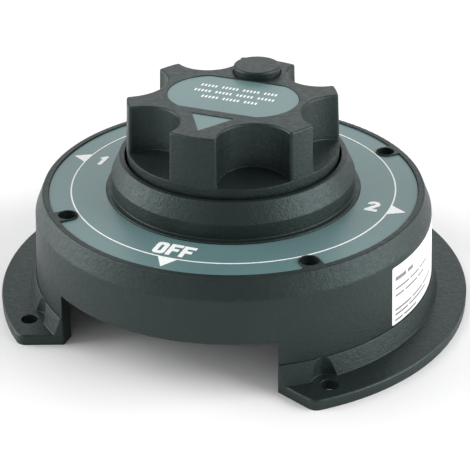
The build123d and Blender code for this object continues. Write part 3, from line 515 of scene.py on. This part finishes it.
# ---- operators: one for each piece or group of like pieces ----
class SWITCH_OT_mouldings(bpy.types.Operator):
    """Gives the housing, the knob and the lock button their moulded plastic"""

    bl_idname = "switch.mouldings"
    bl_label = "Mouldings"

    def execute(self, context):
        look = context.scene.switch_looks.moulding
        shell = moulded_plastic("housing_moulding", look)
        paint(["housing", "collar", "mounting_ear_1", "mounting_ear_2"], shell)
        paint(["knob", "lock_button"], moulded_plastic("knob_moulding", look))
        return {"FINISHED"}


class SWITCH_OT_dial(bpy.types.Operator):
    """Gives the dial, the knob's inlays and their print their foil and ink"""

    bl_idname = "switch.dial"
    bl_label = "Dial and inlays"

    def execute(self, context):
        looks = context.scene.switch_looks
        foil = printed_foil("dial_foil", looks.foil)
        paint(["dial_plate", "knob_inlay", "pointer_inlay"], foil)
        ink = screen_ink("white_print", tuple(looks.label.white_ink))
        paint(["dial_marks"], ink)
        low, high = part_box("inlay_marks")
        builder = bmesh.new()
        for middle, half in INLAY_ROWS:
            count = int(2 * half / STROKE_PITCH)
            for step in range(count):
                if step % WORD != WORD - 1:
                    stroke(builder, (step + 0.5 - count / 2) * STROKE_PITCH, middle, low[2], high[2])
        mesh_piece("inlay_strokes", builder, (ink,), "inlay_marks", "knob")
        return {"FINISHED"}


class SWITCH_OT_label(bpy.types.Operator):
    """Wraps a thin paper label with plain bars round the drum"""

    bl_idname = "switch.label"
    bl_label = "Side label"

    def execute(self, context):
        look = context.scene.switch_looks.label
        low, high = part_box("rating_sticker")
        paper = label_paper("label_sheet", tuple(look.paper))
        ink = screen_ink("label_print", tuple(look.ink))
        length = math.radians(LABEL_SPAN) * LABEL_LOW_R
        builder = bmesh.new()
        wrapped_panel(
            builder, (0.0, length), (low[2], high[2]), (LABEL_BACK, LABEL_FRONT), look.segments, look.corner
        )
        for middle, thickness, bars in LABEL_ROWS:
            heights = (middle - thickness / 2, middle + thickness / 2)
            for arc in bars:
                wrapped_panel(builder, arc, heights, (LABEL_BACK, BAR_FRONT), BAR_SEGMENTS, material=1)
        mesh_piece("side_label", builder, (paper, ink), "rating_sticker")
        return {"FINISHED"}


class SWITCH_OT_studs(bpy.types.Operator):
    """Turns the three terminal studs with their threads"""

    bl_idname = "switch.studs"
    bl_label = "Threaded studs"

    def execute(self, context):
        look = context.scene.switch_looks.thread
        builder = bmesh.new()
        for radius, angle in STUD_PLACES:
            threaded_stud(builder, radius, angle, look)
        brass = worked_metal("stud_brass", BRASS, 0.3, lay=(1.0, 1.0, 0.25), tarnish=0.06)
        mesh_piece("threaded_studs", builder, (brass,), "terminal_studs")
        return {"FINISHED"}


class SWITCH_OT_button_spring(bpy.types.Operator):
    """Winds the lock button's spring and gives it a mesh of its own"""

    bl_idname = "switch.button_spring"
    bl_label = "Button spring"

    def execute(self, context):
        low, high = (Vector(corner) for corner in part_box("lock_spring"))
        middle = (low + high) / 2
        builder = bmesh.new()
        coil(builder, middle, (high.x - low.x) / 2 - COIL_WIRE_R, low.z, high.z)
        wire = worked_metal("coil_wire", SPRING_WIRE, 0.32, lay=(3.0, 3.0, 3.0))
        piece = mesh_piece("button_coil", builder, (wire,), "lock_spring", "knob")
        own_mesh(piece)
        return {"FINISHED"}


class SWITCH_OT_metalwork(bpy.types.Operator):
    """Gives the studs, nuts, washers, screws, springs and contacts their metals"""

    bl_idname = "switch.metalwork"
    bl_label = "Metalwork"

    def execute(self, context):
        brass = worked_metal("turned_brass", BRASS, 0.3, lay=(1.0, 1.0, 0.25), tarnish=0.06)
        copper = worked_metal("rolled_copper", COPPER, 0.28, lay=(4.0, 1.0, 1.0), tarnish=0.08)
        steel = worked_metal("plated_steel", STEEL, 0.27, lay=(1.0, 1.0, 0.3))
        wire = worked_metal("spring_wire", SPRING_WIRE, 0.32, lay=(3.0, 3.0, 3.0))
        paint(["stud_nuts", "thread_inserts", "drive_shaft"], brass)
        paint(["common_contact", "contact_1", "contact_2", "moving_contact"], copper)
        paint(
            [
                "cover_screws",
                "flat_washers",
                "knob_screw",
                "knob_washer",
                "lock_pin",
                "detent_ball_a",
                "detent_ball_b",
            ],
            steel,
        )
        paint(
            ["lock_washers", "contact_springs", "detent_spring_a", "detent_spring_b", "lock_clip"],
            wire,
        )
        return {"FINISHED"}


class SWITCH_OT_inner_pieces(bpy.types.Operator):
    """Gives the contact base, the rotor, the thrust washer and the seals their plastics and rubber"""

    bl_idname = "switch.inner_pieces"
    bl_label = "Inner pieces"

    def execute(self, context):
        look = context.scene.switch_looks.moulding
        base = moulded_plastic("base_moulding", look)
        paint(["contact_base", "rotor_disc"], base)
        paint(["thrust_washer"], label_paper("white_nylon", NYLON))
        paint(["body_seal", "shaft_o_ring"], soft_rubber("seal_rubber", RUBBER))
        return {"FINISHED"}


class SWITCH_OT_stage(bpy.types.Operator):
    """Sets the pale floor, the soft studio light and the camera"""

    bl_idname = "switch.stage"
    bl_label = "Stage"

    def execute(self, context):
        look = context.scene.switch_looks.stage
        scene = context.scene
        scene.view_settings.view_transform = "Standard"
        scene.world = self.surround(look)
        self.floor()
        target = Vector((0.0, 0.0, look.height))
        self.camera(scene, look, target)
        for name, azimuth, elevation, size, power in SOFTBOXES:
            back = towards(azimuth, elevation)
            self.softbox(name, target, back * look.light_distance, size, getattr(look, power))
        return {"FINISHED"}

    def surround(self, look):
        world = bpy.data.worlds.new("white_surround")
        world.use_nodes = True
        background = world.node_tree.nodes["Background"]
        background.inputs["Color"].default_value = (1.0, 1.0, 1.0, 1.0)
        background.inputs["Strength"].default_value = look.surround
        return world

    def floor(self):
        builder = bmesh.new()
        bmesh.ops.create_grid(builder, x_segments=2, y_segments=2, size=FLOOR_REACH)
        mesh = bpy.data.meshes.new("studio_floor")
        builder.to_mesh(mesh)
        builder.free()
        floor = bpy.data.objects.new("studio_floor", mesh)
        bpy.context.scene.collection.objects.link(floor)
        finish = Finish("floor_card")
        finish.shader.inputs["Base Color"].default_value = (*FLOOR_CARD, 1.0)
        finish.shader.inputs["Roughness"].default_value = 0.9
        mesh.materials.append(finish.material)

    def camera(self, scene, look, target):
        back = towards(look.azimuth, look.elevation)
        data = bpy.data.cameras.new("product_camera")
        data.sensor_width = 36.0
        data.lens = look.lens
        data.shift_x, data.shift_y = look.shift
        data.clip_start = 0.01
        camera = bpy.data.objects.new("product_camera", data)
        scene.collection.objects.link(camera)
        turn = (-back).to_track_quat("-Z", "Y").to_matrix() @ Matrix.Rotation(math.radians(look.roll), 3, "Z")
        camera.matrix_world = Matrix.Translation(target + back * look.distance) @ turn.to_4x4()
        scene.camera = camera

    def softbox(self, name, target, away, size, power):
        """A square light, away from the switch by a vector, that faces it."""
        data = bpy.data.lights.new(name, "AREA")
        data.shape = "SQUARE"
        data.size = size
        data.energy = power
        light = bpy.data.objects.new(name, data)
        bpy.context.scene.collection.objects.link(light)
        light.location = target + away
        light.rotation_euler = (-away).to_track_quat("-Z", "Y").to_euler()


class SWITCH_PT_panel(bpy.types.Panel):
    bl_label = "Battery switch"
    bl_idname = "SWITCH_PT_panel"
    bl_space_type = "VIEW_3D"
    bl_region_type = "UI"
    bl_category = "Switch"

    def draw(self, context):
        for operator in OPERATORS:
            self.layout.operator(operator.bl_idname)


OPERATORS = (
    SWITCH_OT_mouldings,
    SWITCH_OT_dial,
    SWITCH_OT_label,
    SWITCH_OT_studs,
    SWITCH_OT_button_spring,
    SWITCH_OT_metalwork,
    SWITCH_OT_inner_pieces,
    SWITCH_OT_stage,
)
GROUPS = (MouldedLook, FoilLook, LabelLook, ThreadLook, StageLook, SwitchLooks)
CLASSES = GROUPS + OPERATORS + (SWITCH_PT_panel,)


def register():
    for cls in CLASSES:
        bpy.utils.register_class(cls)
    bpy.types.Scene.switch_looks = PointerProperty(type=SwitchLooks)


def unregister():
    del bpy.types.Scene.switch_looks
    for cls in reversed(CLASSES):
        bpy.utils.unregister_class(cls)


def main():
    register()
    for operator in OPERATORS:
        group, name = operator.bl_idname.split(".")
        getattr(getattr(bpy.ops, group), name)()


if __name__ == "__main__":
    main()
